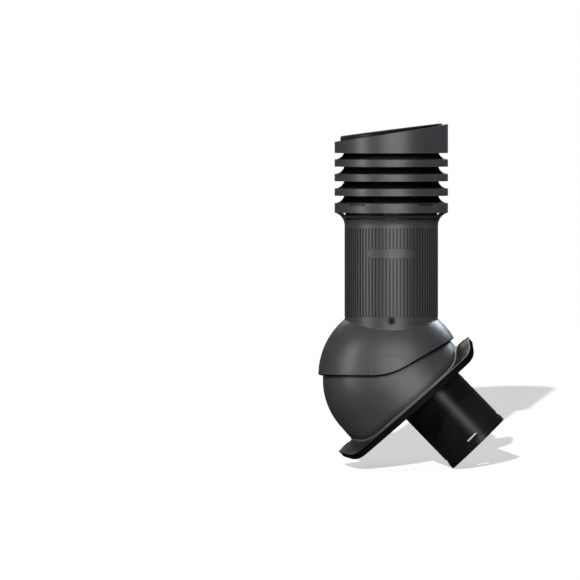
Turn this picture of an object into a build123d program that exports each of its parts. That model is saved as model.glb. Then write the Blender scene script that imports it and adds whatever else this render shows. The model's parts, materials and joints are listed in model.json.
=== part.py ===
from build123d import *
import os
from math import asin, cos, pi, radians, sin, sqrt, tan

# Roof vent pipe with a louvred head, millimetres.
# The tube stands upright along +Z, the roof climbs towards +Y, and X runs across the roof.
# The origin is where the tube's axis meets the roof plane under the base.

# Roof and hinge
roof_pitch = 41.5
roof_depth = 74.1

# Hood, an ellipsoid turned about the hinge axis
hood_radius = 130.4
hood_side_gap = 5.5
hood_front_gap = 6.3
hood_wall = 3.0
skirt_front_z = -0.2
skirt_corner_y = -4.6
skirt_slope = 29.4
skirt_radius = 120.0
skirt_back_y = 110.0
dial_radius = 38.0
skirt_chamfer = 2.2
dial_raise = 0.6
dial_bead = 1.2
dial_mark_angles = (44.0, 168.0)
dial_mark_length = 8.0
dial_mark_width = 1.6
collar_inset = 0.5
collar_wall = 3.0
collar_rise = 4.425848
collar_fillet = 5.0

# Ribbed tube
tube_wall = 2.75
tube_core_radius = 82.2
rib_height = 1.3
rib_count = 82
rib_share = 0.62
rib_stop_gap = 4.2
badge_length = 84.0
badge_height = 17.6
badge_drop = 45.0
badge_raise = 0.2
bell_radius = 24.0
bell_wall = 2.6
bell_shoulder = 0.5
upstand_rise = 6.6
gutter_rim_height = 13.0
upper_slot_height = 4.5
slot_band_height = 4.8
lower_slot_height = 3.8
slot_above_ribs = 0.4
side_post_angle = 16.4
slot_angle = 60.6
spigot_gap = 0.3
spigot_wall = 2.5
spigot_lap = 9.0
spigot_floor_gap = 1.0

# Louvre rings and cap
ring_overhang = 17.75
ring_wall = 2.5
flare_radius = 17.65
lip_height = 13.0
ring_pitch = 26.0
ring_count = 3
base_lip_top_z = 307.4
base_lip_height = 17.3
clip_angle = 37.4
clip_leg_width = 24.0
clip_tongue_width = 18.0
clip_tongue_wall = 2.3
clip_tongue_drop = 9.0
clip_gap = 0.2
clip_nose_width = 10.0
clip_nose_height = 3.0
clip_nose_depth = 1.5
clip_nose_rise = 3.6
snap_window_angle = 18.4
snap_window_height = 3.0
snap_window_drop = 1.4
snap_nose_height = 1.3
snap_nose_depth = 1.6
snap_gap = 0.3
cap_gap = 11.4
cap_low_height = 19.9
cap_high_height = 51.7
cap_roof = 2.6
lid_inset = 10.25
lid_low_proud = 8.2
lid_high_proud = 2.9
lid_wall = 2.2
lid_bevel = 1.6
lid_clip_angle = 45.0
lid_clip_inset = 21.0
lid_clip_width = 10.0
lid_clip_thick = 2.4
lid_clip_drop = 9.0
lid_clip_gap = 0.3

# Hinge between the tube's ears and the base
ear_inset = 1.7
ear_thick = 3.2
ear_half_width = 15.0
bolt_radius = 4.0
bolt_play = 0.05
bolt_head_radius = 7.5
bolt_head_height = 4.5
bolt_hex = 5.0
bolt_hex_depth = 2.4
bolt_depth = 17.0
hinge_gap = 0.1
washer_thick = 1.8
washer_radius = 11.0
boss_radius = 12.0

# Base: dome and flange, drawn square to the roof with the hinge at the origin
dome_side = 23.5
dome_wall = 3.0
dome_y = -4.5
dome_z = -7.7
dome_foot_fillet = 3.0
window_lean = 14.0
window_side_gap = 6.0
window_half_length = 89.0
window_corner = 45.0
flange_end = 30.4
flange_side = 34.5
flange_y = -6.2
flange_ridge_z = -39.3
flange_side_z = -61.6
flange_flat_x = 84.0
flange_plate = 3.0
seal_inset = 0.5
seal_gap = 0.2
seal_width = 18.0
down_stand_z = -67.0
roof_screw_count = 10
roof_screw_hole = 2.5
roof_boss_radius = 7.75
roof_boss_raise = 0.8
roof_screw_pocket = 4.6
roof_pocket_depth = 1.6
roof_boss_inset = 16.5

# Floor plate and outlet pipe
plate_thick = 3.0
plate_screw_count = 6
plate_screw_radius = 2.0
plate_screw_play = 0.2
plate_screw_head = 4.2
plate_screw_head_height = 2.2
plate_screw_length = 13.0
plate_boss_radius = 5.0
plate_boss_height = 16.0
plate_boss_inset = 4.0
pipe_radius = 62.5
pipe_wall = 3.0
pipe_y = 26.6
pipe_lean = 2.55
pipe_end = 195.5
pipe_travel = 52.0
pipe_bead = 1.8
pipe_bead_height = 4.0
pipe_end_bead = 0.9
pipe_end_bead_length = 12.0
pipe_slot_length = 22.0
pipe_slot_height = 5.6
pipe_slot_corner = 0.8
pipe_slot_from_end = 16.8
pipe_slot_count = 4
socket_gap = 0.5
socket_wall = 6.5
socket_height = 12.0
seal_ring_height = 6.0
seal_ring_wall = 3.6
seal_ring_play = 0.05
seal_cap_height = 3.0
seal_cap_play = 0.3

# Screws
collar_screw_drop = 6.8
recess_radius = 7.75
recess_depth = 1.6
collar_screw_radius = 2.0
collar_screw_head = 4.6
collar_screw_head_height = 2.0
collar_screw_length = 9.0
collar_screw_play = 0.25
cross_width = 1.3
cross_depth = 1.2
cross_length = 5.2
thread_gap = 0.05

# Places worked out from the sizes above
hinge_z = roof_depth / cos(radians(roof_pitch))
tube_radius = tube_core_radius + rib_height
collar_radius = tube_radius - collar_inset
# The collar rises from the highest point where it meets the hood, so that its top is 105 mm above the hinge
collar_top_z = sqrt(hood_radius**2 - collar_radius**2) + collar_rise
ring_radius = tube_radius + ring_overhang
lid_radius = ring_radius - lid_inset
lid_clip_radius = lid_radius - lid_clip_inset
tube_bore_radius = tube_core_radius - tube_wall
spigot_radius = collar_radius - collar_wall - spigot_gap
spigot_bore_radius = spigot_radius - spigot_wall
ear_outer_x = spigot_radius - ear_inset
dome_half_width = ear_outer_x + dome_side
dome_radius = hood_radius - hood_front_gap
hood_half_width = dome_half_width + hood_side_gap
window_half_width = ear_outer_x + window_side_gap
flange_half_width = dome_half_width + flange_side
flange_half_length = dome_radius + flange_end
collar_screw_z = collar_top_z - collar_screw_drop
neck_radius = ring_radius - flare_radius
bell_rim_z = base_lip_top_z - base_lip_height
bell_turn = asin((tube_radius + bell_radius - ring_radius + bell_shoulder) / bell_radius)
bell_start_z = bell_rim_z - bell_radius * cos(bell_turn)
rib_top_z = bell_start_z - rib_stop_gap
badge_z = rib_top_z - badge_drop
upstand_top_z = base_lip_top_z + upstand_rise
rim_radius = ring_radius - ring_wall - snap_gap
first_lip_top_z = base_lip_top_z + ring_count * ring_pitch
cap_bottom_z = first_lip_top_z + cap_gap
plate_top_z = down_stand_z
plate_bottom_z = plate_top_z - plate_thick
big = 400.0
overshoot = 1.0
fuse_depth = 0.4


def in_head(shape):
    """Moves a shape drawn with the hinge at the origin to its place on the upright head."""
    return Pos(0, 0, hinge_z) * shape


def in_base(shape):
    """Moves a shape drawn square to the roof to its place on the pitched base."""
    return Pos(0, 0, hinge_z) * Rot(roof_pitch, 0, 0) * shape


def on_pipe(shape):
    """Moves a shape drawn on the Z axis onto the outlet pipe's leaning axis, in the base's own frame."""
    return Pos(0, pipe_y, 0) * Rot(pipe_lean, 0, 0) * shape


def tube(outer, inner, low, high):
    """A plain ring or tube about Z between two heights."""
    height = high - low
    ring = Cylinder(outer, height) - Cylinder(inner, height)
    return Pos(0, 0, low + height / 2) * ring


def rod(radius, low, high):
    """A solid cylinder about Z between two heights."""
    return Pos(0, 0, (low + high) / 2) * Cylinder(radius, high - low)


def arc_block(outer, inner, width, low, high, angle):
    """A piece of a tube's wall of a given width, standing at an angle about Z."""
    block = Pos(outer, 0, (low + high) / 2) * Box(2 * outer, width, high - low)
    return Rot(0, 0, angle) * (block & tube(outer, inner, low, high))


def sector(angle, low, high):
    """A wedge about Z, centred on the X axis, that reaches past every ring."""
    half = radians(angle / 2)
    far = 2 * ring_radius
    corners = [(0, 0), (far, far * tan(half)), (far, -far * tan(half))]
    return Pos(0, 0, low) * extrude(make_face(Polyline(*corners, close=True)), high - low)


def ellipsoid_about_x(half_width, radius):
    """An ellipsoid of revolution about the X axis."""
    half = Ellipse(half_width, radius) & (Pos(0, radius) * Rectangle(3 * half_width, 2 * radius))
    return revolve(half, Axis.X)


def profile_across(points):
    """A closed outline in the Y-Z plane, extruded across the whole width."""
    face = make_face(Plane.YZ * Polyline(*points, close=True))
    return extrude(face, big / 2, both=True)


def clip_angles():
    """The four places round the head where rings clip together."""
    return (clip_angle, 180 - clip_angle, 180 + clip_angle, 360 - clip_angle)


# Louvre rings
def flared_ring(lip_top, height):
    """Lip below, and a flare that sweeps in and up to the neck."""
    centre_z = lip_top + flare_radius
    inner_radius = flare_radius + ring_wall
    foot_z = centre_z - sqrt(inner_radius**2 - ring_wall**2)
    diagonal = radians(225)
    outer_mid = (ring_radius + flare_radius * cos(diagonal), centre_z + flare_radius * sin(diagonal))
    under_start = (ring_radius - inner_radius, centre_z)
    under_end = (ring_radius - ring_wall, foot_z)
    under_mid = (ring_radius + inner_radius * cos(diagonal), centre_z + inner_radius * sin(diagonal))
    with BuildPart() as ring:
        with BuildSketch(Plane.XZ):
            with BuildLine():
                Line((ring_radius, lip_top - height), (ring_radius, lip_top))
                ThreePointArc((ring_radius, lip_top), outer_mid, (neck_radius, centre_z))
                Line((neck_radius, centre_z), under_start)
                ThreePointArc(under_start, under_mid, under_end)
                Line(under_end, (ring_radius - ring_wall, lip_top - height))
                Line((ring_radius - ring_wall, lip_top - height), (ring_radius, lip_top - height))
            make_face()
        revolve(axis=Axis.Z)
    return ring.part


def clip_leg(butt_z, top_z, angle):
    """Leg that stands on the neck below, with a hooked tongue inside that neck."""
    neck_inner = neck_radius - ring_wall
    tongue_outer = neck_inner - clip_gap
    tongue_inner = tongue_outer - clip_tongue_wall
    tie_height = 2 * clip_tongue_wall
    nose_low = butt_z - clip_tongue_drop + clip_nose_rise - clip_nose_height / 2
    leg = arc_block(neck_radius, neck_inner, clip_leg_width, butt_z, top_z, angle)
    tie = arc_block(neck_radius, tongue_inner, clip_tongue_width, butt_z, butt_z + tie_height, angle)
    tongue = arc_block(tongue_outer, tongue_inner, clip_tongue_width,
                       butt_z - clip_tongue_drop, butt_z + tie_height, angle)
    nose = arc_block(tongue_outer + clip_nose_depth, tongue_inner, clip_nose_width,
                     nose_low, nose_low + clip_nose_height, angle)
    return leg + tie + tongue + nose


def clip_windows(neck_top):
    """Openings in a neck for the noses of the legs that stand on it."""
    middle = neck_top - clip_tongue_drop + clip_nose_rise
    half_height = clip_nose_height / 2 + snap_gap
    width = clip_nose_width + 2 * snap_gap
    windows = []
    for angle in clip_angles():
        window = arc_block(ring_radius - ring_wall, neck_radius - 2 * ring_wall, width,
                           middle - half_height, middle + half_height, angle)
        windows.append(window)
    return windows


def louvre_ring():
    """The topmost of the nested rings, which are all alike."""
    neck_top = first_lip_top_z + flare_radius
    ring = flared_ring(first_lip_top_z, lip_height)
    ring += [clip_leg(neck_top - ring_pitch, neck_top - ring_wall, angle) for angle in clip_angles()]
    ring -= clip_windows(neck_top)
    return ring


def louvre_base_ring():
    """The lowest ring, with a taller lip and four snap windows in its face."""
    ring = flared_ring(base_lip_top_z, base_lip_height)
    ring -= clip_windows(base_lip_top_z + flare_radius)
    high = base_lip_top_z - snap_window_drop
    low = high - snap_window_height
    face = tube(ring_radius + overshoot, ring_radius - ring_wall - overshoot, low, high)
    for angle in clip_angles():
        ring -= face & (Rot(0, 0, angle) * sector(snap_window_angle, low, high))
    return ring


# Cap and lid
def cap_line(y):
    """Height of the cap's slanted top at a place along Y."""
    middle = cap_bottom_z + (cap_low_height + cap_high_height) / 2
    return middle + y * (cap_high_height - cap_low_height) / (2 * ring_radius)


def lid_line(y):
    """Height of the lid's top at a place along Y."""
    low = cap_line(-lid_radius) + lid_low_proud
    high = cap_line(lid_radius) + lid_high_proud
    return (low + high) / 2 + y * (high - low) / (2 * lid_radius)


def under_slant(line, drop, floor):
    """Everything below a slanted line, lowered by a drop, and above a floor."""
    return profile_across([(-big / 2, floor), (big / 2, floor), (big / 2, line(big / 2) - drop),
                           (-big / 2, line(-big / 2) - drop)])


def lid_clip_places():
    """Places of the four clips that hold the lid down."""
    for index in range(4):
        angle = radians(lid_clip_angle + 90 * index)
        yield lid_clip_radius * cos(angle), lid_clip_radius * sin(angle)


def cap_cover():
    """Slanted hollow cap with four legs that stand on the top louvre ring."""
    shell = rod(ring_radius, cap_bottom_z, cap_bottom_z + 2 * cap_high_height)
    shell &= under_slant(cap_line, 0, cap_bottom_z)
    hollow = rod(ring_radius - ring_wall, cap_bottom_z - overshoot, cap_bottom_z + 2 * cap_high_height)
    room = under_slant(cap_line, cap_roof, cap_bottom_z - overshoot)
    shell -= hollow & room
    butt_z = first_lip_top_z + flare_radius
    for angle in clip_angles():
        shell += clip_leg(butt_z, cap_bottom_z + 2 * cap_high_height, angle) & (
            under_slant(cap_line, cap_roof / 2, butt_z - clip_tongue_drop))
    for x, y in lid_clip_places():
        slot = Box(lid_clip_width + 2 * lid_clip_gap, lid_clip_thick + 2 * lid_clip_gap, 6 * cap_roof)
        shell -= Pos(x, y, cap_line(y)) * slot
    return shell


def top_lid():
    """Bevelled wedge-shaped disc, hollow underneath, with four hooked clips."""
    top = cap_bottom_z + 2 * cap_high_height
    plate = rod(lid_radius, cap_bottom_z, top) & under_slant(lid_line, 0, cap_bottom_z)
    rim_edges = plate.edges().sort_by(Axis.Z)[-1]
    plate = chamfer(rim_edges, lid_bevel)
    plate -= under_slant(cap_line, 0, cap_bottom_z - overshoot)
    hollow = rod(lid_radius - 2 * lid_wall, cap_bottom_z, top) & under_slant(lid_line, lid_wall, cap_bottom_z)
    plate -= hollow
    for x, y in lid_clip_places():
        low = cap_line(y) - lid_clip_drop
        high = lid_line(y) - lid_wall / 2
        outward = lid_clip_thick if y > 0 else -lid_clip_thick
        stem = Box(lid_clip_width, lid_clip_thick, high - low)
        hook = Box(lid_clip_width, lid_clip_thick, lid_clip_thick)
        plate += Pos(x, y, (low + high) / 2) * stem
        plate += Pos(x, y + outward / 2, low + lid_clip_thick / 2) * hook
    return plate


# Ribbed tube
def rib_band():
    """Body of the tube with its fine upright ribs, drawn as one toothed outline and extruded."""
    pitch = 2 * pi * tube_radius / rib_count
    tooth = Rectangle(2 * rib_height, pitch * rib_share)
    outline = Circle(tube_core_radius) + [
        Rot(0, 0, 360 * index / rib_count) * Pos(tube_core_radius, 0) * tooth for index in range(rib_count)]
    outline &= Circle(tube_radius)
    outline -= Circle(tube_bore_radius)
    return Pos(0, 0, collar_top_z) * extrude(outline, rib_top_z - collar_top_z)


def bell():
    """Bell that opens to the lowest ring, with the gutter's rim inside that ring's lip."""
    foot = tube_radius
    shoulder = ring_radius - bell_shoulder
    inner_radius = bell_radius + bell_wall
    centre = foot + bell_radius
    start_z = bell_start_z
    inner_angle = asin((centre - rim_radius + bell_wall) / inner_radius)
    middle = (pi / 2 - bell_turn) / 2
    outer_mid = (centre - bell_radius * cos(middle), start_z + bell_radius * sin(middle))
    inner_end = (rim_radius - bell_wall, start_z + inner_radius * cos(inner_angle))
    inner_middle = (pi / 2 - inner_angle) / 2
    inner_mid = (centre - inner_radius * cos(inner_middle), start_z + inner_radius * sin(inner_middle))
    inner_start = (centre - inner_radius, start_z)
    top_z = bell_rim_z + gutter_rim_height
    with BuildPart() as flare:
        with BuildSketch(Plane.XZ):
            with BuildLine():
                Line((foot, rib_top_z), (foot, start_z))
                ThreePointArc((foot, start_z), outer_mid, (shoulder, bell_rim_z))
                Polyline((shoulder, bell_rim_z), (rim_radius, bell_rim_z), (rim_radius, top_z),
                         (rim_radius - bell_wall, top_z), inner_end)
                ThreePointArc(inner_end, inner_mid, inner_start)
                Polyline(inner_start, (inner_start[0], rib_top_z), (foot, rib_top_z))
            make_face()
        revolve(axis=Axis.Z)
    return flare.part


def bell_slots():
    """Two rows of four long slots that drain the gutter."""
    upper_high = bell_rim_z
    upper_low = upper_high - upper_slot_height
    lower_high = upper_low - slot_band_height
    lower_low = lower_high - lower_slot_height
    first = side_post_angle / 2 + slot_angle / 2
    cutters = []
    for low, high in ((upper_low, upper_high), (lower_low, lower_high)):
        ring = tube(ring_radius + overshoot, tube_radius + slot_above_ribs, low, high)
        for angle in (first, 180 - first, 180 + first, 360 - first):
            cutters.append(ring & (Rot(0, 0, angle) * sector(slot_angle, low, high)))
    return cutters


def spigot():
    """Ring that drops into the hood's collar, trimmed clear of the dome, and the step that carries it."""
    step_high = collar_top_z + spigot_lap
    low = collar_top_z - 3 * spigot_lap
    ring = tube(spigot_radius, spigot_bore_radius, low, step_high)
    ring += tube(tube_core_radius, spigot_bore_radius, collar_top_z, step_high)
    clear = ellipsoid_about_x(hood_half_width - hood_wall + spigot_floor_gap,
                              hood_radius - hood_wall + spigot_floor_gap)
    return ring - clear


def hinge_ear(side):
    """Ear that hangs from the spigot, through the dome's window, to the hinge bolt."""
    top = collar_top_z + spigot_lap
    plate = Box(ear_thick, 2 * ear_half_width, top)
    middle_x = side * (ear_outer_x - ear_thick / 2)
    ear = Pos(middle_x, 0, top / 2) * plate
    ear += Pos(middle_x, 0, 0) * Rot(0, 90, 0) * Cylinder(ear_half_width, ear_thick)
    ear -= Pos(middle_x, 0, 0) * Rot(0, 90, 0) * Cylinder(bolt_radius + bolt_play, 3 * ear_thick)
    return ear


def badge_pad():
    """Bare rounded pad across the ribs, level with their tops."""
    outline = Plane.YZ * SlotOverall(badge_length, badge_height)
    block = Pos(0, 0, badge_z) * extrude(outline, tube_radius)
    low = badge_z - badge_height
    high = badge_z + badge_height
    skin = tube(tube_radius + badge_raise, tube_core_radius - fuse_depth, low, high)
    return block & skin


def snap_hooks():
    """Four broad hooks on the gutter's rim that catch in the lowest ring's windows."""
    low = base_lip_top_z - snap_window_drop - snap_window_height + snap_gap
    high = low + snap_nose_height
    rim_top = bell_rim_z + gutter_rim_height
    width = 2 * (ring_radius - ring_wall) * sin(radians(snap_window_angle / 2)) - 4 * snap_gap
    inner = rim_radius - bell_wall
    hooks = []
    for angle in clip_angles():
        hooks.append(arc_block(rim_radius, inner, width, rim_top - bell_wall, high, angle))
        hooks.append(arc_block(rim_radius + snap_nose_depth, inner, width, low, high, angle))
    return hooks


def ribbed_tube():
    """Outer tube: ribs, bell, drip up-stand, spigot and hinge ears, moulded as one."""
    top = bell() + tube(tube_radius, tube_bore_radius, rib_top_z, bell_start_z)
    top += tube(tube_core_radius, tube_bore_radius, rib_top_z, upstand_top_z)
    top -= bell_slots()
    top += snap_hooks()
    foot = spigot() + [hinge_ear(1), hinge_ear(-1)]
    foot -= Pos(0, 0, collar_screw_z) * Rot(0, 90, 0) * Cylinder(collar_screw_radius, 3 * spigot_radius)
    return rib_band() + [top, badge_pad(), foot]


# Hood
def skirt_region():
    """Everything above the hood's lower edge: level in front, a wide arc, then a straight climb."""
    turn = radians(skirt_slope)
    tangent = skirt_radius * tan(turn / 2)
    arc_start = (skirt_corner_y - tangent, skirt_front_z)
    arc_end = (skirt_corner_y + tangent * cos(turn), skirt_front_z + tangent * sin(turn))
    back = (skirt_back_y, skirt_front_z + (skirt_back_y - skirt_corner_y) * tan(turn))
    out = (2 * back[0], 2 * back[1])
    middle = (skirt_corner_y - tangent + skirt_radius * sin(turn / 2),
              skirt_front_z + skirt_radius * (1 - cos(turn / 2)))
    with BuildPart() as region:
        with BuildSketch(Plane.YZ):
            with BuildLine():
                Line((-big, skirt_front_z), arc_start)
                ThreePointArc(arc_start, middle, arc_end)
                Polyline(arc_end, back, out, (out[0], big), (-big, big), (-big, skirt_front_z))
            make_face()
        extrude(amount=big, both=True)
    return region.part


def dial_pads():
    """Low round pad at each end of the hinge, with a fine bead round it and two marks across the bead."""
    pad_skin = ellipsoid_about_x(hood_half_width + dial_raise, hood_radius + dial_raise)
    bead_skin = ellipsoid_about_x(hood_half_width + 2 * dial_raise, hood_radius + 2 * dial_raise)
    inner = dial_radius - dial_bead
    bead = Rot(0, 90, 0) * (Cylinder(dial_radius, big) - Cylinder(inner, big))
    pads = [pad_skin & (Rot(0, 90, 0) * Cylinder(dial_radius, big)), bead_skin & bead]
    for angle in dial_mark_angles:
        bar = Pos(0, dial_radius - dial_mark_length / 4, 0) * Box(big, dial_mark_length, dial_mark_width)
        pads.append(bead_skin & (Rot(angle, 0, 0) * bar))
    return pads


def hood():
    """Rain hood: ellipsoidal shell, collar for the tube, and a dial pad round each end of the hinge."""
    outer = ellipsoid_about_x(hood_half_width, hood_radius)
    neck = rod(collar_radius, 0, collar_top_z)
    shell = outer + neck
    joint = [edge for edge in shell.edges() if edge.bounding_box().size.X > collar_radius
             and hood_radius / 2 < edge.center().Z < collar_top_z - overshoot]
    shell = fillet(joint, collar_fillet)
    shell &= skirt_region()
    undersides = [face for face in shell.faces() if face.center().Z < hood_radius / 2 and
                  face.geom_type != GeomType.SPHERE and face.normal_at(face.center()).Z < -0.5]
    rim = [edge for face in undersides for edge in face.edges() if edge.geom_type != GeomType.LINE]
    shell = chamfer(rim, skirt_chamfer)
    shell += [pad & (Pos(0, 0, skirt_chamfer) * skirt_region()) for pad in dial_pads()]
    shell -= ellipsoid_about_x(hood_half_width - hood_wall, hood_radius - hood_wall)
    shell -= rod(collar_radius - collar_wall, 0, 2 * hood_radius)
    for side in (1, -1):
        across = Pos(side * collar_radius, 0, collar_screw_z) * Rot(0, 90, 0)
        shell -= across * Cylinder(recess_radius, 2 * recess_depth)
        shell -= across * Cylinder(collar_screw_radius + collar_screw_play, 4 * collar_wall)
    return shell


# Fasteners
def cross_recess(head_height):
    """Cross cut into the top of a screw head that faces +Z."""
    bar = Box(cross_width, cross_length, 2 * cross_depth)
    return Pos(0, 0, head_height) * (bar + Rot(0, 0, 90) * bar)


def pan_screw(radius, length, head_radius, head_height):
    """Pan-head screw: shank down -Z from the seat, rounded head up +Z."""
    screw = rod(radius, -length, fuse_depth)
    head = fillet(rod(head_radius, 0, head_height).edges().sort_by(Axis.Z)[-1], head_height / 2)
    return screw + head - cross_recess(head_height)


def collar_screw(side):
    """Screw through the hood's collar into the tube's spigot."""
    screw = pan_screw(collar_screw_radius, collar_screw_length, collar_screw_head, collar_screw_head_height)
    seat_x = collar_radius - recess_depth
    return Rot(0, 0, 0 if side > 0 else 180) * Pos(seat_x, 0, collar_screw_z) * Rot(0, 90, 0) * screw


def pivot_bolt(side):
    """Socket-head bolt that the ear turns on, screwed into the dome's boss from inside."""
    seat_x = ear_outer_x - ear_thick - hinge_gap
    head = Cylinder(bolt_head_radius, bolt_head_height)
    head = Pos(seat_x - bolt_head_height / 2, 0, 0) * Rot(0, 90, 0) * head
    socket = extrude(RegularPolygon(bolt_hex / 2, 6, major_radius=False), bolt_hex_depth)
    head -= Pos(seat_x - bolt_head_height, 0, 0) * Rot(0, 90, 0) * socket
    length = ear_thick + 2 * hinge_gap + washer_thick + bolt_depth
    shank = Pos(seat_x + length / 2, 0, 0) * Rot(0, 90, 0) * Cylinder(bolt_radius, length)
    return Rot(0, 0, 0 if side > 0 else 180) * (head + shank)


def pivot_washer(side):
    """Washer between the ear and the dome's boss."""
    low = ear_outer_x + hinge_gap
    ring = Pos(low + washer_thick / 2, 0, 0) * Rot(0, 90, 0) * (
        Cylinder(washer_radius, washer_thick) - Cylinder(bolt_radius, washer_thick))
    return Rot(0, 0, 0 if side > 0 else 180) * ring


# Base
def wave_slab(top_shift, bottom_shift):
    """Slab that follows the tile's wave: a round ridge up the roof and level sides."""
    rise = flange_ridge_z - flange_side_z
    radius = (flange_flat_x**2 + rise**2) / (4 * rise)
    half_turn = asin(flange_flat_x / (2 * radius)) / 2
    side_x = big / 2
    mid_z = (flange_ridge_z + flange_side_z) / 2
    crest_z = flange_ridge_z - radius * (1 - cos(half_turn))
    crest_x = radius * sin(half_turn)
    trough_z = flange_side_z + radius * (1 - cos(half_turn))
    trough_x = flange_flat_x - radius * sin(half_turn)

    def wave(shift):
        left = [(-flange_flat_x, flange_side_z + shift), (-trough_x, trough_z + shift),
                (-flange_flat_x / 2, mid_z + shift)]
        crest = [(-flange_flat_x / 2, mid_z + shift), (0, flange_ridge_z + shift),
                 (flange_flat_x / 2, mid_z + shift)]
        right = [(flange_flat_x / 2, mid_z + shift), (trough_x, trough_z + shift),
                 (flange_flat_x, flange_side_z + shift)]
        return left, crest, right

    with BuildPart() as slab:
        with BuildSketch(Plane.XZ):
            with BuildLine():
                for shift in (top_shift, bottom_shift):
                    Line((-side_x, flange_side_z + shift), (-flange_flat_x, flange_side_z + shift))
                    for arc in wave(shift):
                        ThreePointArc(*arc)
                    Line((flange_flat_x, flange_side_z + shift), (side_x, flange_side_z + shift))
                Line((-side_x, flange_side_z + bottom_shift), (-side_x, flange_side_z + top_shift))
                Line((side_x, flange_side_z + bottom_shift), (side_x, flange_side_z + top_shift))
            make_face()
        extrude(amount=big / 2, both=True)
    return slab.part


def wave_height(x):
    """Height of the flange's top face at a place across the roof."""
    rise = flange_ridge_z - flange_side_z
    radius = (flange_flat_x**2 + rise**2) / (4 * rise)
    x = min(abs(x), flange_flat_x)
    if x <= flange_flat_x / 2:
        return flange_ridge_z - radius + sqrt(radius**2 - x**2)
    return flange_side_z + radius - sqrt(radius**2 - (flange_flat_x - x)**2)


def flange_column(inset):
    """Elliptical column of the flange's plan, drawn in by an inset."""
    plan = Pos(0, flange_y) * Ellipse(flange_half_width - inset, flange_half_length - inset)
    return extrude(plan, big / 2, both=True)


def dome_column(inset, low, high):
    """Elliptical column of the dome's plan, drawn in by an inset."""
    plan = Pos(0, dome_y) * Ellipse(dome_half_width - inset, dome_radius - inset)
    return Pos(0, 0, low) * extrude(plan, high - low)


def roof_screw_places():
    """Places of the roof screws round the flange, clear of its edge."""
    for index in range(roof_screw_count):
        angle = 2 * pi * index / roof_screw_count
        x = (flange_half_width - roof_boss_inset) * sin(angle)
        y = flange_y + (flange_half_length - roof_boss_inset) * cos(angle)
        yield x, y


def plate_screw_places():
    """Places of the floor plate's screws, just inside the dome's wall."""
    inset = dome_wall + plate_boss_inset
    for index in range(plate_screw_count):
        angle = 2 * pi * (index + 0.5) / plate_screw_count
        yield (dome_half_width - inset) * sin(angle), dome_y + (dome_radius - inset) * cos(angle)


def dome_shape(inset, low):
    """Upper half of the dome's ellipsoid, carried down as an elliptical column."""
    cap = Pos(0, dome_y, dome_z) * ellipsoid_about_x(dome_half_width - inset, dome_radius - inset)
    cap &= Pos(0, 0, dome_z + big / 2) * Box(big, big, big)
    return cap + dome_column(inset, low, dome_z)


def dome_window():
    """Rounded opening in the dome for the tube's ears and the air, under the hood."""
    outline = RectangleRounded(2 * window_half_width, 2 * window_half_length, window_corner)
    return Rot(-window_lean, 0, 0) * extrude(outline, big / 2)


def roof_screw_holes():
    """Through holes for the roof screws, square to the roof."""
    reach = abs(flange_side_z) + roof_depth
    return [Pos(x, y, 0) * Cylinder(roof_screw_hole, 2 * reach) for x, y in roof_screw_places()]


def on_dome_foot(point):
    """True for a point where the dome's wall meets the flange's top."""
    x = point.X / dome_half_width
    y = (point.Y - dome_y) / dome_radius
    height = point.Z - wave_height(point.X)
    return abs(x**2 + y**2 - 1) < 0.001 and abs(height) < dome_foot_fillet / 10


def roof_screw_pockets():
    """Round pockets in the bosses for the heads of the roof screws."""
    pockets = []
    for x, y in roof_screw_places():
        top = wave_height(x) + roof_boss_raise
        pockets.append(Pos(x, y, 0) * rod(roof_screw_pocket, top - roof_pocket_depth, top + roof_boss_radius))
    return pockets


def base_housing():
    """Dome, flange and bosses, moulded as one."""
    flange = wave_slab(0, -flange_plate) & flange_column(0)
    above_plate = wave_slab(2 * roof_boss_radius, -flange_plate / 2)
    bosses = []
    for x, y in roof_screw_places():
        top = wave_height(x)
        boss = Pos(x, y, 0) * rod(roof_boss_radius, top - roof_boss_radius, top + roof_boss_raise)
        bosses.append(boss & above_plate)
    flange += bosses
    flange -= roof_screw_holes() + roof_screw_pockets()
    boss_top = down_stand_z + plate_boss_height
    column = dome_column(dome_wall / 2, down_stand_z, boss_top)
    face_x = ear_outer_x + 2 * hinge_gap + washer_thick
    reach = dome_half_width - face_x
    inside = dome_shape(dome_wall / 2, down_stand_z)
    inner_bosses = []
    drills = []
    for x, y in plate_screw_places():
        inner_bosses.append(Pos(x, y, 0) * rod(plate_boss_radius, down_stand_z, boss_top) & column)
        drill_top = down_stand_z + plate_screw_length
        drills.append(Pos(x, y, 0) * rod(plate_screw_radius, down_stand_z - overshoot, drill_top))
    for side in (1, -1):
        across = Pos(side * (face_x + reach / 2), 0, 0) * Rot(0, 90, 0)
        inner_bosses.append(across * Cylinder(boss_radius, reach) & inside)
        drill = Pos(side * (face_x + bolt_depth / 2), 0, 0) * Rot(0, 90, 0)
        drills.append(drill * Cylinder(bolt_radius, bolt_depth + 2 * bolt_play))
    shell = dome_shape(0, down_stand_z) + flange
    shell = fillet([edge for edge in shell.edges() if on_dome_foot(edge @ 0.5)], dome_foot_fillet)
    shell -= [dome_shape(dome_wall, down_stand_z - overshoot), dome_window()]
    return shell + inner_bosses - drills


def flange_seal():
    """Soft seal of even thickness under the flange's edge, shaped to the same wave."""
    drop = abs(flange_side_z) + flange_plate
    seal = wave_slab(-flange_plate, drop - roof_depth - flange_plate)
    ring = flange_column(seal_inset) - flange_column(seal_inset + seal_width)
    seal &= ring
    seal -= dome_column(-seal_gap, -big / 2, big / 2)
    seal -= roof_screw_holes()
    return seal


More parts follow.
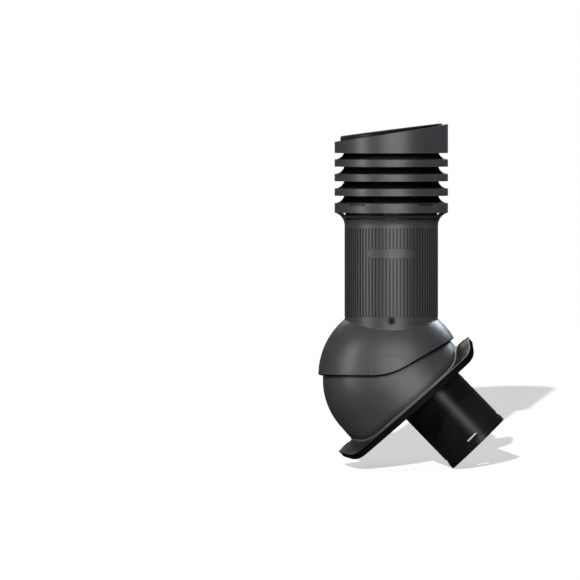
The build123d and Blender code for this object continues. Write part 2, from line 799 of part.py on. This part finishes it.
def floor_plate():
    """Plate that closes the base round the outlet pipe, with the pipe's socket."""
    plate = dome_column(0, plate_bottom_z, plate_top_z)
    socket_top = plate_top_z + socket_height
    inner = pipe_radius + socket_gap
    outer = inner + socket_wall
    socket = on_pipe(rod(outer, 2 * plate_bottom_z, socket_top + seal_ring_height))
    socket &= Pos(0, 0, plate_bottom_z + big / 2) * Box(big, big, big)
    plate += socket
    plate -= on_pipe(rod(inner, 2 * plate_bottom_z, 0))
    plate -= on_pipe(rod(pipe_radius + seal_ring_wall, socket_top, 0))
    screw_hole = rod(plate_screw_radius + plate_screw_play, 2 * plate_bottom_z, 0)
    plate -= [Pos(x, y, 0) * screw_hole for x, y in plate_screw_places()]
    return plate


def floor_plate_screws():
    """Screws that hold the floor plate to the base, as one set."""
    shank = plate_screw_radius - thread_gap
    screw = pan_screw(shank, plate_screw_length, plate_screw_head, plate_screw_head_height)
    upright = Rot(180, 0, 0) * screw
    return Compound([Pos(x, y, plate_bottom_z) * upright for x, y in plate_screw_places()])


def pipe_seal():
    """Rubber ring in the socket's groove."""
    low = plate_top_z + socket_height
    ring = tube(pipe_radius + seal_ring_wall, pipe_radius + seal_ring_play, low, low + seal_ring_height)
    return on_pipe(ring)


def seal_cap_ring():
    """Ring that snaps over the socket and keeps the rubber ring in."""
    low = plate_top_z + socket_height + seal_ring_height
    outer = pipe_radius + socket_gap + socket_wall
    ring = tube(outer + seal_cap_height, pipe_radius + seal_cap_play, low, low + seal_cap_height)
    ring += tube(outer + seal_cap_height, outer, low - seal_ring_height, low)
    return on_pipe(ring)


def outlet_pipe():
    """Outlet pipe with four slots near its end and a stop bead at its inner end."""
    stop_z = plate_top_z + socket_height + seal_ring_height + seal_cap_height
    top = stop_z + pipe_travel + pipe_bead_height
    pipe = rod(pipe_radius, -pipe_end, top)
    pipe += rod(pipe_radius + pipe_bead, top - pipe_bead_height, top)
    end_bead = rod(pipe_radius + pipe_end_bead, -pipe_end, pipe_end_bead_length - pipe_end)
    pipe += chamfer(end_bead.edges(), pipe_end_bead)
    pipe -= rod(pipe_radius - pipe_wall, -pipe_end - overshoot, top + overshoot)
    slot = Pos(pipe_radius, 0, pipe_slot_from_end - pipe_end) * Rot(0, 90, 0)
    outline = RectangleRounded(pipe_slot_height, pipe_slot_length, pipe_slot_corner)
    cutter = slot * extrude(outline, 4 * pipe_wall, both=True)
    for index in range(pipe_slot_count):
        pipe -= Rot(0, 0, 360 * index / pipe_slot_count) * cutter
    return on_pipe(pipe)


nodes = {"top_lid": in_head(top_lid()), "cap_cover": in_head(cap_cover())}
top_ring = in_head(louvre_ring())
for number in range(ring_count):
    nodes[f"louvre_ring_{number + 1}"] = Pos(0, 0, -number * ring_pitch) * top_ring
nodes["louvre_base_ring"] = in_head(louvre_base_ring())
nodes["ribbed_tube"] = in_head(ribbed_tube())
nodes["hood"] = in_head(hood())
for name, side in (("right", 1), ("left", -1)):
    nodes[f"collar_screw_{name}"] = in_head(collar_screw(side))
    nodes[f"pivot_bolt_{name}"] = in_base(pivot_bolt(side))
    nodes[f"pivot_washer_{name}"] = in_base(pivot_washer(side))
nodes["base_housing"] = in_base(base_housing())
nodes["flange_seal"] = in_base(flange_seal())
nodes["floor_plate"] = in_base(floor_plate())
nodes["floor_plate_screws"] = in_base(floor_plate_screws())
nodes["pipe_seal"] = in_base(pipe_seal())
nodes["seal_cap_ring"] = in_base(seal_cap_ring())
nodes["outlet_pipe"] = in_base(outlet_pipe())

os.makedirs("parts", exist_ok=True)
for name, shape in nodes.items():
    export_step(shape, f"parts/{name}.step")
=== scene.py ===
import bpy
import json
import math
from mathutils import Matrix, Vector


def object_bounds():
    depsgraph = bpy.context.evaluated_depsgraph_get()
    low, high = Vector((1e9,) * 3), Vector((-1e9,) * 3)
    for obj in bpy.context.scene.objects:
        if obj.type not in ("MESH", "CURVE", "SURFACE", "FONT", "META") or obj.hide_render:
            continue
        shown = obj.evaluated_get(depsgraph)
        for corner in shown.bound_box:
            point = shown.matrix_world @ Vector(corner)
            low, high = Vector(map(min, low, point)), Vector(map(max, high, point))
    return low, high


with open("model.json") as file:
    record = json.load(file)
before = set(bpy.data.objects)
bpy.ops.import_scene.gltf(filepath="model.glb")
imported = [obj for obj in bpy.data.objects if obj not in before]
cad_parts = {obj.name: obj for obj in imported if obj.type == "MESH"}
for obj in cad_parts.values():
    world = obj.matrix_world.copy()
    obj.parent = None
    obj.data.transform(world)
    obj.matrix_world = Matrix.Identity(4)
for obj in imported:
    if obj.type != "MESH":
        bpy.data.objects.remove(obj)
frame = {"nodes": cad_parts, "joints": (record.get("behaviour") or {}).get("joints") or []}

cad_box = [list(corner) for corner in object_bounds()]
nodes = frame["nodes"]

# Places in the photograph, whose frame is 580 pixels square
picture = 580
metres_per_pixel = 0.001786
axis_px = 391.3
hinge_px = 375.1
hinge_z = frame["joints"][0]["pos_m"][2]

# Camera
camera_distance = 30.0
camera_rise = math.radians(0.95)
camera_reach = 100.0
sensor = 36.0

# The base, drawn square to the roof with the hinge at the origin: half width, half length and middle of its plans
roof_pitch = math.radians(41.5)
roof_normal = (0, -math.sin(roof_pitch), math.cos(roof_pitch))
roof_up = (0, math.cos(roof_pitch), math.sin(roof_pitch))
flange_plan = (0.136, 0.1545, -0.0062)
dome_plan = (0.1015, 0.1241, -0.0045)
wave_ridge = -0.0393
wave_side = -0.0616
wave_width = 0.084

# Darker faces and painted highlights (catch-lights) that follow the base, by parts of its plans and depths below
# the flange's top
rim_start = 0.985
rim_light_depth = 0.0010
side_darkness = 0.98
foot_end = 1.05
top_start = 1.16
top_tone = 0.42
fillet_rise = 0.0012
fillet_light = 0.0008

# Painted highlight (catch-light) on the fine bead round each end of the hinge
bead_radius = 0.0374
bead_light = 0.0009
bead_strength = 0.25
bead_least_x = 0.08

# Colours, as a dark and a light tone for each plastic
# Painted highlight colour that the catch-lights blend towards
painted_highlight_tone = (0.20, 0.205, 0.215)
# Darkest colour: painted shade in recesses and under the hood's skirt, and the flange's darkened side
painted_shade_tone = (0.002, 0.002, 0.002)
anthracite = ((0.026, 0.026, 0.027), (0.032, 0.032, 0.033))
neutral_anthracite = ((0.027, 0.027, 0.027), (0.033, 0.033, 0.033))
blue_black = ((0.018, 0.020, 0.022), (0.023, 0.025, 0.028))
pipe_black = ((0.008, 0.008, 0.008), (0.011, 0.011, 0.011))
rubber_black = ((0.0022, 0.0022, 0.0022), (0.0034, 0.0034, 0.0034))
coated_steel = ((0.004, 0.004, 0.004), (0.008, 0.008, 0.008))
pipe_turn = -math.radians(44.05)

# Floor and world
floor_slope = 0.066
floor_gap = 0.001
floor_half = 3.0
floor_glow = 0.55
floor_bounce = 0.12
world_level = 0.09
aim = Vector((0.0, 0.0, 0.20))


# Camera: square to the side and a degree above, with a long lens
def shown(x_px, y_px):
    """Y and Z, in metres, of a pixel in the plane of the tube's axis."""
    return (x_px - axis_px) * metres_per_pixel, hinge_z + (hinge_px - y_px) * metres_per_pixel


centre_y, centre_z = shown(picture / 2, picture / 2)
camera_data = bpy.data.cameras.new("camera")
camera_data.sensor_width = sensor
camera_data.lens = sensor * camera_distance / (picture * metres_per_pixel)
camera_data.clip_end = camera_reach
camera = bpy.data.objects.new("camera", camera_data)
camera.location = (camera_distance * math.cos(camera_rise), centre_y,
                   centre_z + camera_distance * math.sin(camera_rise))
camera.rotation_euler = (math.radians(90) - camera_rise, 0, math.radians(90))
bpy.context.scene.collection.objects.link(camera)
bpy.context.scene.camera = camera
bpy.context.scene.view_settings.view_transform = "Standard"


# Node helpers
def new_material(name):
    """An empty node material, its tree and its surface socket."""
    material = bpy.data.materials.new(name)
    material.use_nodes = True
    tree = material.node_tree
    tree.nodes.clear()
    output = tree.nodes.new("ShaderNodeOutputMaterial")
    return material, tree, output.inputs["Surface"]


def add(tree, kind, **values):
    """A node with the given input values; a name that isn't an input is set on the node itself."""
    node = tree.nodes.new(kind)
    for key, value in values.items():
        label = key.replace("_", " ")
        match = [socket for socket in node.inputs if socket.name.lower() == label.lower()]
        if match:
            match[0].default_value = value
        else:
            setattr(node, key, value)
    return node


def ramp(tree, source, low, high, low_value, high_value):
    """Maps a value between low and high to one between low_value and high_value, which it never passes."""
    node = add(tree, "ShaderNodeMapRange", from_min=low, from_max=high, to_min=low_value, to_max=high_value)
    tree.links.new(source, node.inputs["Value"])
    return node.outputs["Result"]


def combine(tree, operation, first, second=0.0):
    """One arithmetic step on two values, each a socket or a number; steps on one value leave out the second."""
    node = add(tree, "ShaderNodeMath", operation=operation)
    for index, value in enumerate((first, second)):
        if isinstance(value, (int, float)):
            node.inputs[index].default_value = value
        else:
            tree.links.new(value, node.inputs[index])
    return node.outputs[0]


def squared(tree, value):
    """A value times itself."""
    return combine(tree, "MULTIPLY", value, value)


def along(tree, source, direction):
    """Part of a vector that lies along a direction."""
    node = add(tree, "ShaderNodeVectorMath", operation="DOT_PRODUCT")
    node.inputs[1].default_value = direction
    tree.links.new(source, node.inputs[0])
    return node.outputs["Value"]


def place_on(tree):
    """Place of the shaded point in the part at rest, in metres."""
    return add(tree, "ShaderNodeTexCoord").outputs["Object"]


def mixed(tree, amount, first, second):
    """Colour between two others, each a socket or three numbers, by an amount."""
    node = add(tree, "ShaderNodeMixRGB")
    tree.links.new(amount, node.inputs["Fac"])
    for name, value in (("Color1", first), ("Color2", second)):
        if isinstance(value, tuple):
            node.inputs[name].default_value = (*value, 1)
        else:
            tree.links.new(value, node.inputs[name])
    return node.outputs["Color"]


# Painted shade, darker faces and painted highlights (catch-lights)
def skirt_painted_shade(tree):
    """Painted shade: 0.1 on the hood's faces that look down, 1 elsewhere."""
    facing = along(tree, add(tree, "ShaderNodeTexCoord").outputs["Normal"], (0, 0, 1))
    return ramp(tree, facing, -0.30, -0.12, 0.1, 1.0)


def bead_painted_highlight(tree):
    """Strength of the painted highlight (catch-light) on the fine bead round each end of the hinge."""
    place = place_on(tree)
    across = combine(tree, "ABSOLUTE", along(tree, place, (1, 0, 0)))
    y = along(tree, place, (0, 1, 0))
    z = combine(tree, "SUBTRACT", along(tree, place, (0, 0, 1)), hinge_z)
    radius = combine(tree, "SQRT", combine(tree, "ADD", squared(tree, y), squared(tree, z)))
    miss = combine(tree, "ABSOLUTE", combine(tree, "SUBTRACT", radius, bead_radius))
    strength = combine(tree, "MULTIPLY", combine(tree, "LESS_THAN", miss, bead_light), bead_strength)
    return combine(tree, "MULTIPLY", strength, combine(tree, "GREATER_THAN", across, bead_least_x))


def reach_of(tree, half_width, half_length, middle):
    """1 on an ellipse drawn on the roof plane, less inside it and more outside."""
    place = place_on(tree)
    across = combine(tree, "DIVIDE", along(tree, place, (1, 0, 0)), half_width)
    upslope = combine(tree, "SUBTRACT", along(tree, place, roof_up), hinge_z * math.sin(roof_pitch) + middle)
    upslope = combine(tree, "DIVIDE", upslope, half_length)
    return combine(tree, "ADD", squared(tree, across), squared(tree, upslope))


def below_wave(tree):
    """Depth below the flange's waved top face, in metres."""
    place = place_on(tree)
    x = combine(tree, "MINIMUM", combine(tree, "ABSOLUTE", along(tree, place, (1, 0, 0))), wave_width)
    rise = wave_ridge - wave_side
    radius = (wave_width**2 + rise**2) / (4 * rise)
    from_side = combine(tree, "SUBTRACT", wave_width, x)
    crest = combine(tree, "SQRT", combine(tree, "SUBTRACT", radius**2, squared(tree, x)))
    crest = combine(tree, "ADD", crest, wave_ridge - radius)
    trough = combine(tree, "SQRT", combine(tree, "SUBTRACT", radius**2, squared(tree, from_side)))
    trough = combine(tree, "SUBTRACT", wave_side + radius, trough)
    on_crest = combine(tree, "LESS_THAN", x, wave_width / 2)
    top = combine(tree, "ADD", combine(tree, "MULTIPLY", on_crest, crest),
                  combine(tree, "MULTIPLY", combine(tree, "SUBTRACT", 1.0, on_crest), trough))
    height = combine(tree, "SUBTRACT", along(tree, place, roof_normal), hinge_z * math.cos(roof_pitch))
    return combine(tree, "SUBTRACT", top, height)


def flange_side(tree):
    """Close to 0 on the flange's upright side, low on its top beyond the dome's foot, 1 elsewhere."""
    at_edge = combine(tree, "GREATER_THAN", reach_of(tree, *flange_plan), rim_start)
    deep = combine(tree, "GREATER_THAN", below_wave(tree), rim_light_depth)
    upright = combine(tree, "MULTIPLY", combine(tree, "MULTIPLY", at_edge, deep), side_darkness)
    top = ramp(tree, reach_of(tree, *dome_plan), foot_end, top_start, 1.0, top_tone)
    return combine(tree, "MULTIPLY", combine(tree, "SUBTRACT", 1.0, upright), top)


def flange_painted_highlights(tree):
    """Painted highlights (catch-lights) along the flange's rounded rim and along the fillet at the dome's foot,
    stronger upslope.
    """
    depth = below_wave(tree)
    rim = combine(tree, "MULTIPLY", combine(tree, "GREATER_THAN", reach_of(tree, *flange_plan), rim_start),
                  combine(tree, "LESS_THAN", depth, rim_light_depth))
    miss = combine(tree, "ABSOLUTE", combine(tree, "ADD", depth, fillet_rise))
    foot = combine(tree, "MULTIPLY", combine(tree, "LESS_THAN", reach_of(tree, *dome_plan), foot_end),
                   combine(tree, "LESS_THAN", miss, fillet_light))
    strength = ramp(tree, along(tree, place_on(tree), roof_up), -0.06, 0.16, 0.35, 0.85)
    return combine(tree, "MULTIPLY", combine(tree, "MAXIMUM", rim, foot), strength)


# Materials
def moulded(name, tones, rough, grain=1400.0, grain_depth=0.00002, stretch=(1, 1, 1), turn=0.0,
            specular=0.5, edge=0.0006, reach=0.020, closed=0.42, opened=0.92,
            dark_where=None, painted_highlight_where=None):
    """Moulded plastic: faint cloudy tone, fine satin grain, softly rounded edges, and painted shade in recesses,
    where ambient occlusion darkens colour and specular.

    A recess of the width reach is darkest where its openness is at most closed, and not dark at all from opened on.
    """
    material, tree, surface = new_material(name)
    mapping = add(tree, "ShaderNodeMapping")
    mapping.inputs["Rotation"].default_value = (turn, 0, 0)
    mapping.inputs["Scale"].default_value = stretch
    tree.links.new(place_on(tree), mapping.inputs["Vector"])
    cloud = add(tree, "ShaderNodeTexNoise", scale=38.0, detail=4.0, roughness=0.55)
    fine = add(tree, "ShaderNodeTexNoise", scale=grain, detail=2.0, roughness=0.6)
    flow = add(tree, "ShaderNodeTexNoise", scale=9.0, detail=2.0, roughness=0.5)
    for noise in (cloud, fine, flow):
        tree.links.new(mapping.outputs["Vector"], noise.inputs["Vector"])
    tint = mixed(tree, ramp(tree, cloud.outputs["Fac"], 0.3, 0.7, 0.0, 1.0), *tones)
    roughness = ramp(tree, flow.outputs["Fac"], 0.3, 0.7, rough - 0.03, rough + 0.03)

    # Painted shade: ambient occlusion darkens colour and specular in recesses
    recess = add(tree, "ShaderNodeAmbientOcclusion", samples=16, distance=reach)
    openness = ramp(tree, recess.outputs["AO"], closed, opened, 0.0, 1.0)
    # Further painted shade or darkening by a mask
    if dark_where:
        openness = combine(tree, "MULTIPLY", openness, dark_where(tree))
    # Painted highlights lift the colour out of the painted shade towards a light tone
    if painted_highlight_where:
        strength = painted_highlight_where(tree)
        openness = combine(tree, "MAXIMUM", openness, strength)
        tint = mixed(tree, strength, tint, painted_highlight_tone)

    rounded = add(tree, "ShaderNodeBevel", radius=edge, samples=6)
    bump = add(tree, "ShaderNodeBump", strength=1.0, distance=grain_depth)
    tree.links.new(fine.outputs["Fac"], bump.inputs["Height"])
    tree.links.new(rounded.outputs["Normal"], bump.inputs["Normal"])
    shader = add(tree, "ShaderNodeBsdfPrincipled")
    tree.links.new(mixed(tree, openness, painted_shade_tone, tint), shader.inputs["Base Color"])
    tree.links.new(combine(tree, "MULTIPLY", openness, specular), shader.inputs["Specular IOR Level"])
    tree.links.new(roughness, shader.inputs["Roughness"])
    tree.links.new(bump.outputs["Normal"], shader.inputs["Normal"])
    tree.links.new(shader.outputs["BSDF"], surface)
    return material


shell_plastic = moulded("shell_plastic", anthracite, rough=0.42)
# Hood: painted shade on its faces that look down and a painted highlight on each hinge bead
hood_plastic = moulded("hood_plastic", anthracite, rough=0.42, dark_where=skirt_painted_shade, painted_highlight_where=bead_painted_highlight)
# Base: darker flange side and top, with painted highlights along its rim and the dome's foot
base_plastic = moulded("base_plastic", anthracite, rough=0.42, dark_where=flange_side, painted_highlight_where=flange_painted_highlights)
# The louvres get a wider, stronger ambient occlusion, painting deep shade in the gaps between rings
louvre_plastic = moulded("louvre_plastic", anthracite, rough=0.40, stretch=(1, 1, 6), reach=0.035, closed=0.54)
tube_plastic = moulded("tube_plastic", neutral_anthracite, rough=0.42, stretch=(1, 1, 0.15), closed=0.30)
lid_plastic = moulded("lid_plastic", blue_black, rough=0.36, specular=0.30)
plate_plastic = moulded("plate_plastic", pipe_black, rough=0.45)
pipe_plastic = moulded("pipe_plastic", pipe_black, rough=0.30, grain=500.0, grain_depth=0.00001,
                       stretch=(1, 1, 0.04), turn=pipe_turn, specular=0.16)
seal_rubber = moulded("seal_rubber", rubber_black, rough=0.55, grain=900.0, grain_depth=0.00006, specular=0.04)
screw_steel = moulded("screw_steel", coated_steel, rough=0.42, grain=2200.0, specular=0.14)

finishes = {
    "top_lid": lid_plastic, "ribbed_tube": tube_plastic, "hood": hood_plastic, "base_housing": base_plastic,
    "flange_seal": seal_rubber, "floor_plate": plate_plastic, "pipe_seal": seal_rubber,
    "seal_cap_ring": plate_plastic, "outlet_pipe": pipe_plastic,
}
for name, thing in nodes.items():
    finish = finishes.get(name, louvre_plastic if "louvre" in name else shell_plastic)
    if any(word in name for word in ("screw", "bolt", "washer")):
        finish = screw_steel
    thing.data.materials.clear()
    thing.data.materials.append(finish)


# Floor: it slopes up away from the camera, so that the shadow shows, and is seen from above only
def floor_finish():
    """White to the camera apart from the shadow on it, dim to the part, and clear from below."""
    material, tree, surface = new_material("floor")
    to_camera = add(tree, "ShaderNodeLightPath").outputs["Is Camera Ray"]
    matt = add(tree, "ShaderNodeBsdfDiffuse", color=(1, 1, 1, 1))
    glow = add(tree, "ShaderNodeEmission", color=(1, 1, 1, 1))
    tree.links.new(combine(tree, "MULTIPLY", to_camera, floor_glow), glow.inputs["Strength"])
    bright = add(tree, "ShaderNodeAddShader")
    tree.links.new(matt.outputs[0], bright.inputs[0])
    tree.links.new(glow.outputs[0], bright.inputs[1])
    dim = add(tree, "ShaderNodeBsdfDiffuse", color=(floor_bounce, floor_bounce, floor_bounce, 1))
    above = add(tree, "ShaderNodeMixShader")
    tree.links.new(to_camera, above.inputs[0])
    tree.links.new(dim.outputs[0], above.inputs[1])
    tree.links.new(bright.outputs[0], above.inputs[2])
    both_sides = add(tree, "ShaderNodeMixShader")
    tree.links.new(add(tree, "ShaderNodeNewGeometry").outputs["Backfacing"], both_sides.inputs[0])
    tree.links.new(above.outputs[0], both_sides.inputs[1])
    tree.links.new(add(tree, "ShaderNodeBsdfTransparent").outputs[0], both_sides.inputs[2])
    tree.links.new(both_sides.outputs[0], surface)
    return material


floor_z = cad_box[0][2] - floor_gap
corners = [(x * floor_half, y * floor_half, floor_z - floor_slope * x * floor_half)
           for x, y in ((-1, -1), (1, -1), (1, 1), (-1, 1))]
floor_mesh = bpy.data.meshes.new("floor")
floor_mesh.from_pydata(corners, [], [(0, 1, 2, 3)])
floor_mesh.materials.append(floor_finish())
floor = bpy.data.objects.new("floor", floor_mesh)
bpy.context.scene.collection.objects.link(floor)

# World: white where the camera sees it, a dim studio for everything else
world = bpy.data.worlds.new("world")
bpy.context.scene.world = world
world.use_nodes = True
world.node_tree.nodes.clear()
sky = add(world.node_tree, "ShaderNodeBackground", color=(1, 1, 1, 1))
seen = add(world.node_tree, "ShaderNodeLightPath").outputs["Is Camera Ray"]
world.node_tree.links.new(ramp(world.node_tree, seen, 0.0, 1.0, world_level, 1.0), sky.inputs["Strength"])
world.node_tree.links.new(sky.outputs[0], add(world.node_tree, "ShaderNodeOutputWorld").inputs["Surface"])


# Lamps
def lit_only(name, things):
    """A collection of the things that a lamp lights."""
    collection = bpy.data.collections.new(name)
    for thing in things:
        collection.objects.link(thing)
    return collection


def all_but(*left_out):
    """The part's pieces apart from those named."""
    return [thing for name, thing in nodes.items() if name not in left_out]


def softbox(name, azimuth, elevation, distance, width, height, power, lights, colour=(1, 1, 1)):
    """Rectangular lamp turned to the part. Azimuth 0 is at the camera, positive to the right, in degrees."""
    lamp = bpy.data.lights.new(name, "AREA")
    lamp.shape = "RECTANGLE"
    lamp.size = width
    lamp.size_y = height
    lamp.energy = power
    lamp.color = colour
    thing = bpy.data.objects.new(name, lamp)
    a, e = math.radians(azimuth), math.radians(elevation)
    out = Vector((math.cos(a) * math.cos(e), math.sin(a) * math.cos(e), math.sin(e)))
    thing.location = aim + out * distance
    thing.rotation_euler = out.to_track_quat("Z", "Y").to_euler()
    thing.visible_camera = False
    thing.light_linking.receiver_collection = lights
    bpy.context.scene.collection.objects.link(thing)


def sunlight(name, direction, strength, disc, lights):
    """Sun from a direction, with the width of its disc in degrees."""
    lamp = bpy.data.lights.new(name, "SUN")
    lamp.energy = strength
    lamp.angle = math.radians(disc)
    thing = bpy.data.objects.new(name, lamp)
    thing.rotation_euler = Vector(direction).to_track_quat("Z", "Y").to_euler()
    thing.visible_glossy = False
    thing.light_linking.receiver_collection = lights
    bpy.context.scene.collection.objects.link(thing)


whole = lit_only("whole", all_but())
no_lid = lit_only("no_lid", all_but("outlet_pipe", "top_lid"))
sides = lit_only("sides", all_but("outlet_pipe", "flange_seal", "top_lid"))
pipe_only = lit_only("pipe_only", [nodes["outlet_pipe"]])
ground = lit_only("ground", [floor])

softbox("strip_left", azimuth=-62, elevation=12, distance=2.6, width=0.50, height=2.4, power=40, lights=whole)
softbox("strip_front", azimuth=7, elevation=5, distance=2.6, width=2.1, height=3.8, power=112, lights=no_lid)
softbox("strip_pipe", azimuth=20, elevation=10, distance=2.6, width=0.6, height=1.4, power=26, lights=pipe_only)
softbox("rim_right", azimuth=146, elevation=33, distance=2.2, width=0.7, height=0.7, power=26, lights=sides,
        colour=(0.80, 0.92, 1.0))
softbox("back_fill", azimuth=192, elevation=38, distance=2.6, width=1.6, height=1.2, power=26, lights=sides)
softbox("fill_right", azimuth=100, elevation=12, distance=2.4, width=0.5, height=1.6, power=2.5, lights=sides,
        colour=(0.84, 0.70, 1.0))
sunlight("key", direction=(1.44, -0.396, 1.0), strength=1.8, disc=1.3, lights=whole)
sunlight("floor_key", direction=(3.2, -0.43, 1.0), strength=3.5, disc=0.7, lights=ground)
